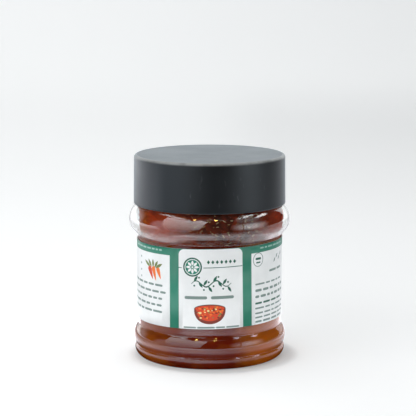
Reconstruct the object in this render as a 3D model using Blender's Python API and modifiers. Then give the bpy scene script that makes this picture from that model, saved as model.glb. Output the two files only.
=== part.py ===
"""Carrot murabba in a shut, clear PET jar with a screw lid and a wrap label.

Metres, +Z up. The Z axis is the jar's axis, the origin is the middle of the surface that the
jar stands on, and the front of the label faces -Y.
"""

import math
import random

import bmesh
import bpy
from mathutils import Matrix, Vector

# Shared by all pieces
SIDES = 40  # sides of a turned piece
SIDE_ANGLE = 2 * math.pi / SIDES
ARC_ERROR = 0.00012  # how far a rounded corner strays from its chords, about as far as the sides do
CLEARANCE = 0.0003  # gap between neighbouring pieces
SAME_POINT = 1e-6
MERGE = 1e-5
SMOOTH_BELOW = math.radians(35)

# Jar: heights are from the surface that it stands on
JAR_WALL = 0.0009
RIM_HEIGHT = 0.1000
NECK_RADIUS = 0.0340
NECK_FOOT_ROUND = 0.0010
SHOULDER_RADIUS = 0.0403  # the upper bulge at its widest
SHOULDER_HEIGHT = 0.0695
SHOULDER_ROUND = 0.0102
SHOULDER_SLOPE = math.radians(62)  # slopes are measured from the vertical
UNDERSIDE_ROUND = 0.0072
UNDERSIDE_SLOPE = math.radians(40)
PANEL_RADIUS = 0.0359  # the recess that holds the label
PANEL_ROUND = 0.0010
BELLY_RADIUS = 0.0383  # the lower bulge at its widest
BELLY_HEIGHT = 0.0109
BELLY_TOP_ROUND = 0.0075
BELLY_TOP_SLOPE = math.radians(30)
BELLY_FOOT_ROUND = 0.0080
BELLY_FOOT_SLOPE = math.radians(20)
GROOVE_RADIUS = 0.0371  # the groove between the lower bulge and the heel
GROOVE_ROUND = 0.0003
HEEL_RADIUS = 0.0377
HEEL_TOP_ROUND = 0.0005
HEEL_ROUND = 0.0044
FOOT_INNER_RADIUS = 0.0310  # the flat ring that the jar stands on ends here
FOOT_ROUND = 0.0006
PUSH_UP_RADIUS = 0.0290
PUSH_UP_HEIGHT = 0.0024
PUSH_UP_ROUND = 0.0020

# Lid
LID_TOP = 0.1020
LID_FOOT = 0.0774
LID_TOP_RADIUS = 0.03775
LID_FOOT_RADIUS = 0.0380
LID_TOP_ROUND = 0.0014
LID_FOOT_ROUND = 0.0006
LID_INNER_RADIUS = 0.0361
LID_INNER_FOOT_ROUND = 0.0012
LID_INNER_TOP_ROUND = 0.0010

# Screw thread, a round bead on the neck and another inside the lid
THREAD_PITCH = 0.0042
THREAD_TURNS = 1.25
THREAD_BEAD = 0.0010
THREAD_STAND = 0.0004  # how far a bead's centre line stands off the wall's surface
THREAD_START = 0.0865
THREAD_TAPER = 5  # points over which an end thins out
THREAD_THIN = 0.35

# Label
LABEL_TOP = 0.0603
LABEL_FOOT = 0.0208
LABEL_THICKNESS = 0.0003
LABEL_RADIUS = PANEL_RADIUS + CLEARANCE + LABEL_THICKNESS
LABEL_GAP_SIDES = 1  # sides left open at the back, where the label's ends don't meet
LABEL_SKEW = math.radians(1.0)  # it was wrapped a little askew, rising to the right
BACK = math.radians(90)

# Murabba: it fills the jar, and stands clear of the wall in the upper bulge
FILL_HEIGHT = 0.0880
FILL_ROUND = 0.0015
STAND_RADIUS = 0.0353
STAND_TOP = 0.0762
STAND_FOOT = 0.0640
STAND_ROUND = 0.0060
STAND_LEAN = 0.0008  # further out on the right than on the left
LUMP_DEPTH = 0.0003
LUMP_WAVES = 5
BAND_FOOT = 0.0610
BAND_TOP = 0.0780

# Carrot shreds on the murabba's surface, where the upper bulge shows them
SHRED_COUNT = 60
SHRED_WIDTH = (0.0014, 0.0020)
SHRED_LENGTH = (0.010, 0.019)
SHRED_POINTS = 4
SHRED_LIFT = 0.00035
SHRED_ROOM = 0.0016  # the least from a shred's middle to the jar's inside
SHRED_TILT = math.radians(50)
SHRED_BEND = math.radians(35)
SHRED_TIP = 0.45  # a tip's width as a share of the middle's
SHRED_FOOT = 0.0630
SHRED_TOP = 0.0760
GOLDEN_TURN = math.pi * (3 - math.sqrt(5))
SEED = 7


def clear_scene():
    for obj in list(bpy.data.objects):
        bpy.data.objects.remove(obj)


def new_collection(name):
    collection = bpy.data.collections.new(name)
    bpy.context.scene.collection.children.link(collection)
    return collection


def new_material(name, colour, roughness, transmission=0.0, ior=1.5):
    material = bpy.data.materials.new(name)
    material.use_nodes = True
    shader = material.node_tree.nodes["Principled BSDF"]
    shader.inputs["Base Color"].default_value = (*colour, 1.0)
    shader.inputs["Roughness"].default_value = roughness
    shader.inputs["Metallic"].default_value = 0.0
    shader.inputs["Transmission Weight"].default_value = transmission
    shader.inputs["IOR"].default_value = ior
    return material


def flank(bulge, slope_round, slope, wall_radius, wall_round, way):
    """The corners (radius, height, round) of one side of a bulge, from its widest to the next wall.

    bulge is (radius, height) at its widest, and way is 1 for the side above it, -1 for below."""
    radius, height = bulge
    corner = height + way * slope_round * math.tan(slope / 2)
    wall = corner + way * (radius - wall_radius) / math.tan(slope)
    return (radius, corner, slope_round), (wall_radius, wall, wall_round)


def upper_corners():
    """The jar's outside from its rim down to the label panel's top."""
    bulge = SHOULDER_RADIUS, SHOULDER_HEIGHT
    shoulder, neck_foot = flank(bulge, SHOULDER_ROUND, SHOULDER_SLOPE, NECK_RADIUS, NECK_FOOT_ROUND, 1)
    underside, panel_top = flank(bulge, UNDERSIDE_ROUND, UNDERSIDE_SLOPE, PANEL_RADIUS, PANEL_ROUND, -1)
    return [(NECK_RADIUS, RIM_HEIGHT, 0), neck_foot, shoulder, underside, panel_top]


def lower_corners(with_groove):
    """The jar's outside from the label panel's foot down to the middle of the base."""
    bulge = BELLY_RADIUS, BELLY_HEIGHT
    top, panel_foot = flank(bulge, BELLY_TOP_ROUND, BELLY_TOP_SLOPE, PANEL_RADIUS, PANEL_ROUND, 1)
    foot, groove = flank(bulge, BELLY_FOOT_ROUND, BELLY_FOOT_SLOPE, GROOVE_RADIUS, GROOVE_ROUND, -1)
    heel_top = (HEEL_RADIUS, groove[1] - (HEEL_RADIUS - GROOVE_RADIUS), HEEL_TOP_ROUND)
    base = [
        (HEEL_RADIUS, 0, HEEL_ROUND),
        (FOOT_INNER_RADIUS, 0, FOOT_ROUND),
        (PUSH_UP_RADIUS, PUSH_UP_HEIGHT, PUSH_UP_ROUND),
        (0, PUSH_UP_HEIGHT, 0),
    ]
    return [panel_foot, top, foot, *([groove, heel_top] if with_groove else [heel_top]), *base]


def inset(corners, distance):
    """The corners of a parallel outline, this far inside one that runs down its outer side."""
    ways = [(Vector(b[:2]) - Vector(a[:2])).normalized() for a, b in zip(corners, corners[1:])]
    ways = [ways[0], *ways, ways[-1]]
    moved = []
    for (radius, height, rounding), arrive, leave in zip(corners, ways, ways[1:]):
        inward = Vector((arrive.y + leave.y, -arrive.x - leave.x)) / (1 + arrive.dot(leave))
        hollow = arrive.x * leave.y - arrive.y * leave.x > 0
        new_round = rounding + distance if hollow else max(rounding - distance, 0)
        moved.append((radius + inward.x * distance, height + inward.y * distance, new_round))
    return moved


def arc_step(radius):
    """The angle between two points of an arc whose chords keep to ARC_ERROR."""
    return 2 * math.acos(1 - min(ARC_ERROR / radius, 1)) if radius else math.pi


def rounded(corners):
    """The points (radius, height) of an outline, with an arc in place of each rounded corner."""
    points = [Vector(corners[0][:2])]
    for before, (radius, height, rounding), after in zip(corners, corners[1:], corners[2:]):
        corner = Vector((radius, height))
        arrive = (corner - Vector(before[:2])).normalized()
        leave = (Vector(after[:2]) - corner).normalized()
        turn = arrive.angle(leave)
        side = (leave - arrive * math.cos(turn)) / math.sin(turn)
        start = corner - arrive * rounding * math.tan(turn / 2)
        steps = math.ceil(turn / arc_step(rounding))
        for angle in (turn * step / steps for step in range(steps + 1)):
            points.append(start + rounding * (math.sin(angle) * arrive + (1 - math.cos(angle)) * side))
    points.append(Vector(corners[-1][:2]))
    return [b for a, b in zip([None, *points], points) if a is None or (a - b).length > SAME_POINT]


def turned(name, points, collection, sides=SIDES):
    """A profile at +X with a Screw modifier round the Z axis."""
    mesh = bpy.data.meshes.new(name)
    edges = [(i, i + 1) for i in range(len(points) - 1)]
    mesh.from_pydata([(point.x, 0, point.y) for point in points], edges, [])
    obj = bpy.data.objects.new(name, mesh)
    collection.objects.link(obj)
    screw = obj.modifiers.new("Screw", "SCREW")
    screw.angle = sides * SIDE_ANGLE
    screw.steps = screw.render_steps = sides
    screw.use_merge_vertices = True
    screw.merge_threshold = MERGE
    return obj


def bake(obj):
    """Makes what the object's modifiers give its own mesh."""
    graph = bpy.context.evaluated_depsgraph_get()
    mesh = bpy.data.meshes.new_from_object(obj.evaluated_get(graph))
    obj.modifiers.clear()
    obj.data = mesh


def mesh_of_curve(curve, collection):
    """The curve as a mesh object with its caps welded on. The curve is removed."""
    graph = bpy.context.evaluated_depsgraph_get()
    mesh = bpy.data.meshes.new_from_object(curve.evaluated_get(graph))
    shape = bmesh.new()
    shape.from_mesh(mesh)
    bmesh.ops.remove_doubles(shape, verts=shape.verts, dist=SAME_POINT)
    bmesh.ops.recalc_face_normals(shape, faces=shape.faces)
    shape.to_mesh(mesh)
    shape.free()
    obj = bpy.data.objects.new(curve.name + "_mesh", mesh)
    obj.matrix_world = curve.matrix_world
    collection.objects.link(obj)
    bpy.data.objects.remove(curve)
    return obj


def bead(name, path, widths, depth, corners, collection):
    """A round bead along a path, as a mesh. widths scale its depth at each point."""
    data = bpy.data.curves.new(name, "CURVE")
    data.dimensions = "3D"
    data.bevel_depth = depth
    data.bevel_resolution = corners
    data.use_fill_caps = True
    spline = data.splines.new("POLY")
    spline.points.add(len(path) - 1)
    for point, place, width in zip(spline.points, path, widths):
        point.co = (*place, 1)
        point.radius = width
    curve = bpy.data.objects.new(name, data)
    collection.objects.link(curve)
    return mesh_of_curve(curve, collection)


def keep_largest_shell(obj):
    """Fills the hollows that a union sealed and drops its loose scraps."""
    shape = bmesh.new()
    shape.from_mesh(obj.data)
    left = set(shape.verts)
    shells = []
    while left:
        shell = set()
        reached = {left.pop()}
        while reached:
            vertex = reached.pop()
            shell.add(vertex)
            reached |= {edge.other_vert(vertex) for edge in vertex.link_edges} - shell
        left -= shell
        shells.append(shell)
    largest = max(shells, key=len)
    bmesh.ops.delete(shape, geom=[vert for vert in shape.verts if vert not in largest], context="VERTS")
    shape.to_mesh(obj.data)
    shape.free()


def join(obj, helpers, solver):
    """Fuses what the helper collection holds onto the object, and removes the helpers."""
    union = obj.modifiers.new("Union", "BOOLEAN")
    union.operation = "UNION"
    union.operand_type = "COLLECTION"
    union.collection = helpers
    union.solver = solver
    bake(obj)
    keep_largest_shell(obj)
    for helper in list(helpers.objects):
        bpy.data.objects.remove(helper)
    bpy.data.collections.remove(helpers)


def finish(obj, material):
    obj.data.materials.clear()
    obj.data.materials.append(material)
    obj.data.shade_smooth()
    obj.data.set_sharp_from_angle(angle=SMOOTH_BELOW)


def add_thread(obj, radius, start):
    """Fuses a right-handed thread bead to a turned piece, its centre line at this radius."""
    helpers = new_collection(obj.name + "_helpers")
    steps = round(THREAD_TURNS * SIDES)
    path = []
    widths = []
    for step in range(steps + 1):
        angle = step * SIDE_ANGLE
        height = start + THREAD_PITCH * step / SIDES
        path.append((radius * math.cos(angle), radius * math.sin(angle), height))
        from_end = min(step, steps - step, THREAD_TAPER) / THREAD_TAPER
        widths.append(THREAD_THIN + (1 - THREAD_THIN) * from_end)
    bead(obj.name + "_thread", path, widths, THREAD_BEAD, 1, helpers)
    join(obj, helpers, "EXACT")


def make_jar(collection):
    outside = upper_corners() + lower_corners(with_groove=True)
    inside = inset(upper_corners() + lower_corners(with_groove=False), JAR_WALL)
    jar = turned("jar", rounded(inside)[::-1] + rounded(outside), collection)
    bake(jar)
    add_thread(jar, NECK_RADIUS + THREAD_STAND, THREAD_START)
    finish(jar, new_material("clear_pet", (0.93, 0.95, 0.95), 0.04, transmission=1.0, ior=1.57))


def make_lid(collection):
    ceiling = RIM_HEIGHT + CLEARANCE
    corners = [
        (0, LID_TOP, 0),
        (LID_TOP_RADIUS, LID_TOP, LID_TOP_ROUND),
        (LID_FOOT_RADIUS, LID_FOOT, LID_FOOT_ROUND),
        (LID_INNER_RADIUS, LID_FOOT, LID_INNER_FOOT_ROUND),
        (LID_INNER_RADIUS, ceiling, LID_INNER_TOP_ROUND),
        (0, ceiling, 0),
    ]
    lid = turned("lid", rounded(corners), collection)
    bake(lid)
    add_thread(lid, LID_INNER_RADIUS - THREAD_STAND, THREAD_START - THREAD_PITCH / 2)
    finish(lid, new_material("black_plastic", (0.012, 0.013, 0.014), 0.42))


def make_label(collection):
    profile = [Vector((LABEL_RADIUS, LABEL_TOP)), Vector((LABEL_RADIUS, LABEL_FOOT))]
    label = turned("label", profile, collection, SIDES - LABEL_GAP_SIDES)
    shell = label.modifiers.new("Solidify", "SOLIDIFY")
    shell.thickness = LABEL_THICKNESS
    shell.offset = -1
    bake(label)
    start = BACK + LABEL_GAP_SIDES * SIDE_ANGLE / 2
    label.data.transform(Matrix.Rotation(start, 4, "Z"))
    for vertex in label.data.vertices:
        vertex.co.z += vertex.co.x * math.tan(LABEL_SKEW)
    finish(label, new_material("printed_paper", (0.80, 0.81, 0.80), 0.40))


def murabba_corners():
    fill_radius = NECK_RADIUS - JAR_WALL - CLEARANCE
    panel_radius = PANEL_RADIUS - JAR_WALL - CLEARANCE
    lower = lower_corners(with_groove=False)
    upper = [
        (0, FILL_HEIGHT, 0),
        (fill_radius, FILL_HEIGHT, FILL_ROUND),
        (fill_radius, BAND_TOP, FILL_ROUND),
        (STAND_RADIUS, STAND_TOP, STAND_ROUND),
        (STAND_RADIUS, STAND_FOOT, STAND_ROUND),
        (panel_radius, BAND_FOOT, FILL_ROUND),
    ]
    return upper + inset(upper_corners() + lower, JAR_WALL + CLEARANCE)[-len(lower):]


def unevenness(angle, height):
    """How far out the murabba's side stands from its turned form."""
    share = (height - BAND_FOOT) / (BAND_TOP - BAND_FOOT)
    if not 0 < share < 1:
        return 0.0
    lumps = math.sin(LUMP_WAVES * angle) * math.cos(2 * math.pi * share + 2 * angle)
    return math.sin(math.pi * share) * (STAND_LEAN * math.cos(angle) + LUMP_DEPTH * lumps)


def radius_at(points, height):
    """An outline's radius at a height, on its outer side."""
    for above, below in zip(points, points[1:]):
        if above.y >= height > below.y:
            share = (above.y - height) / (above.y - below.y)
            return above.x + share * (below.x - above.x)
    raise ValueError("no side at this height")


def shred_path(outline, wall, angle, height, heading, bend, length):
    """Points along the murabba's surface, clear of the wall, starting at this angle and height."""
    path = []
    step = length / (SHRED_POINTS - 1)
    for index in range(SHRED_POINTS):
        surface = radius_at(outline, height) + unevenness(angle, height) + SHRED_LIFT
        radius = min(surface, radius_at(wall, height) - SHRED_ROOM)
        path.append((radius * math.cos(angle), radius * math.sin(angle), height))
        way = heading + bend * index / (SHRED_POINTS - 1)
        angle += step * math.cos(way) / radius
        height = min(max(height + step * math.sin(way), SHRED_FOOT), SHRED_TOP)
    return path


def make_murabba(collection):
    outline = rounded(murabba_corners())
    wall = rounded(inset(upper_corners(), JAR_WALL))
    murabba = turned("murabba", outline, collection)
    bake(murabba)
    for vertex in murabba.data.vertices:
        out = Vector((vertex.co.x, vertex.co.y, 0))
        if out.length > STAND_RADIUS / 2:
            vertex.co += out.normalized() * unevenness(math.atan2(out.y, out.x), vertex.co.z)
    draw = random.Random(SEED)
    helpers = new_collection("shreds")
    middle = (SHRED_POINTS - 1) / 2
    for index in range(SHRED_COUNT):
        path = shred_path(
            outline,
            wall,
            index * GOLDEN_TURN,
            draw.uniform(SHRED_FOOT, SHRED_TOP),
            draw.uniform(-SHRED_TILT, SHRED_TILT),
            draw.uniform(-SHRED_BEND, SHRED_BEND),
            draw.uniform(*SHRED_LENGTH),
        )
        widths = [1 - (1 - SHRED_TIP) * (abs(i - middle) / middle) ** 2 for i in range(SHRED_POINTS)]
        bead(f"shred_{index}", path, widths, draw.uniform(*SHRED_WIDTH) / 2, 0, helpers)
    join(murabba, helpers, "MANIFOLD")
    finish(murabba, new_material("murabba", (0.12, 0.018, 0.006), 0.25))


def main():
    clear_scene()
    parts = new_collection("carrot_murabba_jar")
    make_jar(parts)
    make_lid(parts)
    make_label(parts)
    make_murabba(parts)


main()
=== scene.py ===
"""Looks of a shut, clear PET jar of carrot murabba with a black screw lid and a wrap label.

Metres, +Z up. The Z axis is the jar's axis, and the front of the label faces -Y. The label's
print is laid out in millimetres: along the label from the middle of its front, positive to the
right, and up from the surface that the jar stands on.
"""

import math
import random

import bpy
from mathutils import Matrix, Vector, geometry, noise


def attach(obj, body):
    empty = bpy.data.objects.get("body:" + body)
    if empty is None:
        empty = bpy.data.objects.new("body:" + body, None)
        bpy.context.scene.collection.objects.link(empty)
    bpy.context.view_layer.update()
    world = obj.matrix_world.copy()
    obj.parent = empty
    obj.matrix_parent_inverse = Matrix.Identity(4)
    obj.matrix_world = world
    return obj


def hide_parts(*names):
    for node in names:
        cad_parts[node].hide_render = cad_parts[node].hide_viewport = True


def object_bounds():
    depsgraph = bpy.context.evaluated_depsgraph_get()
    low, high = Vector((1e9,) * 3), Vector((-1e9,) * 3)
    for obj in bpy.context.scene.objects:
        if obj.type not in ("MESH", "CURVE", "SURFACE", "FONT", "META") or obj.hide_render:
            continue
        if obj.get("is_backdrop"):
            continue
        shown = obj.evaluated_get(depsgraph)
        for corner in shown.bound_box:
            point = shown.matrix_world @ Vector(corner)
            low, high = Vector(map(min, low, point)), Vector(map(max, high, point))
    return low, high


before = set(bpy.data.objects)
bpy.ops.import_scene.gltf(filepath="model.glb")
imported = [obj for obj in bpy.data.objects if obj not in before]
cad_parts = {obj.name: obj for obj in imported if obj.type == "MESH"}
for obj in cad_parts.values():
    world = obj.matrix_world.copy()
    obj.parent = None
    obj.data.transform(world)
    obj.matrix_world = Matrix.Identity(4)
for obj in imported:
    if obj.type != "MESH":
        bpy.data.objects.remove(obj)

CAD_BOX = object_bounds()
BODY = "root"
MM = 0.001
UP = Vector((0, 0, 1))

# Camera: the photograph's angle and distance, and its frame's width at the jar
CAMERA_TARGET = Vector((-0.0008, 0, 0.07446))
CAMERA_DISTANCE = 0.832
CAMERA_ELEVATION = math.radians(9.34)
CAMERA_LENS = 143.5
CAMERA_SENSOR = 36

LIGHT_BOUNCES = 28  # the jar and its syrup have three surfaces on each side, with carrot between

# Shapes
COLUMNS = 176  # upright lines of points round a turned piece
ARC_ERROR = 0.00001  # how far a rounded corner strays from its chords
LONGEST_STEP = 0.0009  # between two points of an outline
SAME_POINT = 1e-6
STRAIGHT = 1e-4  # a corner that turns less than this has no arc
SMOOTH_BELOW = math.radians(35)
FRONT = -math.pi / 2

# Jar, as in the CAD model
JAR_WALL = 0.0009
RIM_HEIGHT = 0.1000
NECK_RADIUS = 0.0340
NECK_FOOT_ROUND = 0.0010
SHOULDER_RADIUS = 0.0403
SHOULDER_HEIGHT = 0.0695
SHOULDER_ROUND = 0.0102
SHOULDER_SLOPE = math.radians(62)
UNDERSIDE_ROUND = 0.0072
UNDERSIDE_SLOPE = math.radians(40)
PANEL_RADIUS = 0.0359
PANEL_ROUND = 0.0010
BELLY_RADIUS = 0.0383
BELLY_HEIGHT = 0.0109
BELLY_TOP_ROUND = 0.0075
BELLY_TOP_SLOPE = math.radians(40)
BELLY_FOOT_ROUND = 0.0080
BELLY_FOOT_SLOPE = math.radians(20)
GROOVE_RADIUS = 0.0371
GROOVE_ROUND = 0.0003
HEEL_RADIUS = 0.0377
HEEL_TOP_ROUND = 0.0005
HEEL_ROUND = 0.0044
FOOT_INNER_RADIUS = 0.0310
FOOT_ROUND = 0.0006
PUSH_UP_RADIUS = 0.0290
PUSH_UP_HEIGHT = 0.0024
PUSH_UP_ROUND = 0.0020

# Jar, what only the fine surface has
SEAM_ANGLE = FRONT + math.radians(24)  # one mould parting line, with the other opposite
SEAM_STAND = 0.00012
SEAM_HALF = 0.00022
SEAM_COLUMNS = (-0.0006, -0.00022, -0.0001, 0, 0.0001, 0.00022, 0.0006)
WAVE_DEPTH = 0.00003
WAVE_SCALE = 70
WET_BELOW = 0.0615  # the murabba touches the wall up to here, and again in the neck
WET_ABOVE = 0.0785

# Screw threads
THREAD_PITCH = 0.0042
THREAD_TURNS = 1.25
THREAD_HALF = 0.0011
THREAD_STAND = 0.0008
THREAD_START = 0.0865
THREAD_TAPER = 0.12  # of a turn, over which an end runs out

# Lid, as in the CAD model
LID_TOP = 0.1020
LID_FOOT = 0.0774
LID_TOP_RADIUS = 0.03775
LID_FOOT_RADIUS = 0.0380
LID_TOP_ROUND = 0.0014
LID_FOOT_ROUND = 0.0006
LID_INNER_RADIUS = 0.0361
LID_INNER_FOOT_ROUND = 0.0012
LID_INNER_TOP_ROUND = 0.0010
LID_CEILING = RIM_HEIGHT + 0.0003
LID_PALE_EDGE_HEIGHTS = (0.1004, 0.1017)  # its top edge is pale from the first to the second, with wear and a painted highlight
LID_PALE_EDGE_RADII = (0.0359, 0.0366)

# Murabba
FILL_HEIGHT = 0.0880
FILL_ROUND = 0.0015
STAND_RADIUS = 0.0353
STAND_TOP = 0.0762
STAND_FOOT = 0.0640
STAND_ROUND = 0.0060
STAND_LEAN = 0.0008
LUMP_DEPTH = 0.0003
LUMP_WAVES = 5
BAND_FOOT = 0.0610
BAND_TOP = 0.0780
WALL_REACH = 0.00012  # how far it reaches into the jar's wall, so that no air shows between

# Packed carrot: (radius, height) of its clump above and below the part that shows
CLUMP_ABOVE = ((0.0, 0.0856), (0.0290, 0.0850), (0.0300, 0.0835), (0.0310, 0.0790))
CLUMP_BELOW = (
    (0.0325, 0.0606),
    (0.0230, 0.0560),
    (0.0190, 0.0450),
    (0.0150, 0.0300),
    (0.0080, 0.0245),
    (0.0, 0.0240),
)
CLUMP_BAND = (0.0620, 0.0776)  # between these heights it stands just proud of the syrup
CLUMP_STEPS = 16
CLUMP_PROUD = 0.0004
CLUMP_ROUGH = 0.0004
CLUMP_SCALE = 130
CLUMP_FRACTAL = (0.9, 2.1, 4)  # the noise's smoothness, step in scale and layers
CLUMP_CALM = 0.010  # its lumps fade out within this radius
PAINTED_SHADE_MIDDLE = (0.009, -0.033, 0.071)  # the middle of the painted shade on the carrot, in front
PAINTED_SHADE_REACH = (0.010, 0.038)

# Carrot in strips, drawn from these ranges. A depth is inwards from the syrup's surface, so
# both kinds lie just outside it
SHREDS = {
    "count": 90,
    "length": (0.008, 0.021),
    "half_width": (0.00055, 0.00095),
    "half_thickness": (0.00022, 0.00040),
    "depth": (-0.0006, -0.0001),
}
SLIVERS = {
    "count": 420,
    "length": (0.0007, 0.0022),
    "half_width": (0.00010, 0.00024),
    "half_thickness": (0.00010, 0.00018),
    "depth": (-0.0009, -0.0005),
}
STRIP_POINTS = 9
STRIP_SIDES = 6
STRIP_SWING = 0.00015
STRIP_TILT = math.radians(60)
STRIP_BEND = math.radians(70)
STRIP_TWIST = math.radians(50)
STRIP_END = 0.2  # an end's size, as a share of the middle's
WALL_COVER = 0.00025  # what the jar's wall still has outside a strip that lies in it
GOLDEN_TURN = math.pi * (3 - math.sqrt(5))
SEED = 7

# Label
LABEL_TOP = 60.3
LABEL_FOOT = 20.8
LABEL_RADIUS = 36.5
LABEL_THICKNESS = 0.3
LABEL_SKEW = math.tan(math.radians(1.0))
LABEL_END = math.radians(175.5) * LABEL_RADIUS
LABEL_STEP = 1.4
INK_WEAR = 0.03  # how far its mottling goes from the ink's colour


def srgb(*levels):
    """A colour given as 0 to 255 on a screen, in the linear values that shaders use."""
    shares = [level / 255 for level in levels]
    return tuple(s / 12.92 if s <= 0.04045 else ((s + 0.055) / 1.055) ** 2.4 for s in shares)


# Outlines


def flank(bulge, slope_round, slope, wall_radius, wall_round, way):
    """The corners (radius, height, round) of one side of a bulge, from its widest to the next wall."""
    radius, height = bulge
    corner = height + way * slope_round * math.tan(slope / 2)
    wall = corner + way * (radius - wall_radius) / math.tan(slope)
    return (radius, corner, slope_round), (wall_radius, wall, wall_round)


def upper_corners():
    """The jar's outside from its rim down to the label panel's top."""
    bulge = SHOULDER_RADIUS, SHOULDER_HEIGHT
    shoulder, neck_foot = flank(bulge, SHOULDER_ROUND, SHOULDER_SLOPE, NECK_RADIUS, NECK_FOOT_ROUND, 1)
    underside, panel_top = flank(bulge, UNDERSIDE_ROUND, UNDERSIDE_SLOPE, PANEL_RADIUS, PANEL_ROUND, -1)
    return [(NECK_RADIUS, RIM_HEIGHT, 0), neck_foot, shoulder, underside, panel_top]


def lower_corners(with_groove):
    """The jar's outside from the label panel's foot down to the middle of the base."""
    bulge = BELLY_RADIUS, BELLY_HEIGHT
    top, panel_foot = flank(bulge, BELLY_TOP_ROUND, BELLY_TOP_SLOPE, PANEL_RADIUS, PANEL_ROUND, 1)
    foot, groove = flank(bulge, BELLY_FOOT_ROUND, BELLY_FOOT_SLOPE, GROOVE_RADIUS, GROOVE_ROUND, -1)
    heel_top = (HEEL_RADIUS, groove[1] - (HEEL_RADIUS - GROOVE_RADIUS), HEEL_TOP_ROUND)
    base = [
        (HEEL_RADIUS, 0, HEEL_ROUND),
        (FOOT_INNER_RADIUS, 0, FOOT_ROUND),
        (PUSH_UP_RADIUS, PUSH_UP_HEIGHT, PUSH_UP_ROUND),
        (0, PUSH_UP_HEIGHT, 0),
    ]
    return [panel_foot, top, foot, *([groove, heel_top] if with_groove else [heel_top]), *base]


def inset(corners, distance):
    """The corners of a parallel outline, this far inside one that runs down its outer side."""
    ways = [(Vector(b[:2]) - Vector(a[:2])).normalized() for a, b in zip(corners, corners[1:])]
    ways = [ways[0], *ways, ways[-1]]
    moved = []
    for (radius, height, rounding), arrive, leave in zip(corners, ways, ways[1:]):
        inward = Vector((arrive.y + leave.y, -arrive.x - leave.x)) / (1 + arrive.dot(leave))
        hollow = arrive.x * leave.y - arrive.y * leave.x > 0
        new_round = rounding + distance if hollow else max(rounding - distance, 0)
        moved.append((radius + inward.x * distance, height + inward.y * distance, new_round))
    return moved


def arc_step(radius):
    """The angle between two points of an arc whose chords keep to ARC_ERROR."""
    return 2 * math.acos(1 - min(ARC_ERROR / radius, 1)) if radius else math.pi


def rounded(corners):
    """The points (radius, height) of an outline, with an arc in place of each rounded corner."""
    points = [Vector(corners[0][:2])]
    for before, (radius, height, rounding), after in zip(corners, corners[1:], corners[2:]):
        corner = Vector((radius, height))
        arrive = (corner - Vector(before[:2])).normalized()
        leave = (Vector(after[:2]) - corner).normalized()
        turn = arrive.angle(leave)
        if turn < STRAIGHT:
            points.append(corner)
            continue
        side = (leave - arrive * math.cos(turn)) / math.sin(turn)
        start = corner - arrive * rounding * math.tan(turn / 2)
        steps = math.ceil(turn / arc_step(rounding))
        for angle in (turn * step / steps for step in range(steps + 1)):
            points.append(start + rounding * (math.sin(angle) * arrive + (1 - math.cos(angle)) * side))
    points.append(Vector(corners[-1][:2]))
    return [b for a, b in zip([None, *points], points) if a is None or (a - b).length > SAME_POINT]


def spaced(points, longest=LONGEST_STEP):
    """The same outline with points added along its long straight runs."""
    filled = [points[0]]
    for a, b in zip(points, points[1:]):
        pieces = math.ceil((b - a).length / longest)
        filled += [a.lerp(b, (i + 1) / pieces) for i in range(pieces)]
    return filled


def jar_outside():
    return spaced(rounded(upper_corners() + lower_corners(with_groove=True)))


def murabba_corners():
    """The contents' outline, just inside the jar's wall where they touch it."""
    fill_radius = NECK_RADIUS - JAR_WALL + WALL_REACH
    lower = lower_corners(with_groove=False)
    upper = [
        (0, FILL_HEIGHT, 0),
        (fill_radius, FILL_HEIGHT, FILL_ROUND),
        (fill_radius, BAND_TOP, FILL_ROUND),
        (STAND_RADIUS, STAND_TOP, STAND_ROUND),
        (STAND_RADIUS, STAND_FOOT, STAND_ROUND),
        (PANEL_RADIUS - JAR_WALL + WALL_REACH, BAND_FOOT, FILL_ROUND),
    ]
    return upper + inset(upper_corners() + lower, JAR_WALL - WALL_REACH)[-len(lower):]


def unevenness(angle, height):
    """How far out the murabba's side stands from its turned form."""
    share = (height - BAND_FOOT) / (BAND_TOP - BAND_FOOT)
    if not 0 < share < 1:
        return 0.0
    lumps = math.sin(LUMP_WAVES * angle) * math.cos(2 * math.pi * share + 2 * angle)
    return math.sin(math.pi * share) * (STAND_LEAN * math.cos(angle) + LUMP_DEPTH * lumps)


def radius_at(points, height):
    """An outline's radius at a height, on its outer side."""
    for above, below in zip(points, points[1:]):
        if above.y >= height > below.y:
            share = (above.y - height) / (above.y - below.y)
            return above.x + share * (below.x - above.x)
    raise ValueError("no side at this height")


def smooth_share(value):
    """0 up to 0, 1 from 1, and a smooth rise between."""
    value = min(max(value, 0), 1)
    return value * value * (3 - 2 * value)


# Meshes


def new_object(name, vertices, faces, materials):
    mesh = bpy.data.meshes.new(name)
    mesh.from_pydata(vertices, [], faces)
    for material in materials:
        mesh.materials.append(material)
    mesh.shade_smooth()
    mesh.set_sharp_from_angle(angle=SMOOTH_BELOW)
    obj = bpy.data.objects.new(name, mesh)
    bpy.context.scene.collection.objects.link(obj)
    return obj


def even_angles():
    return [2 * math.pi * column / COLUMNS for column in range(COLUMNS)]


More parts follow.
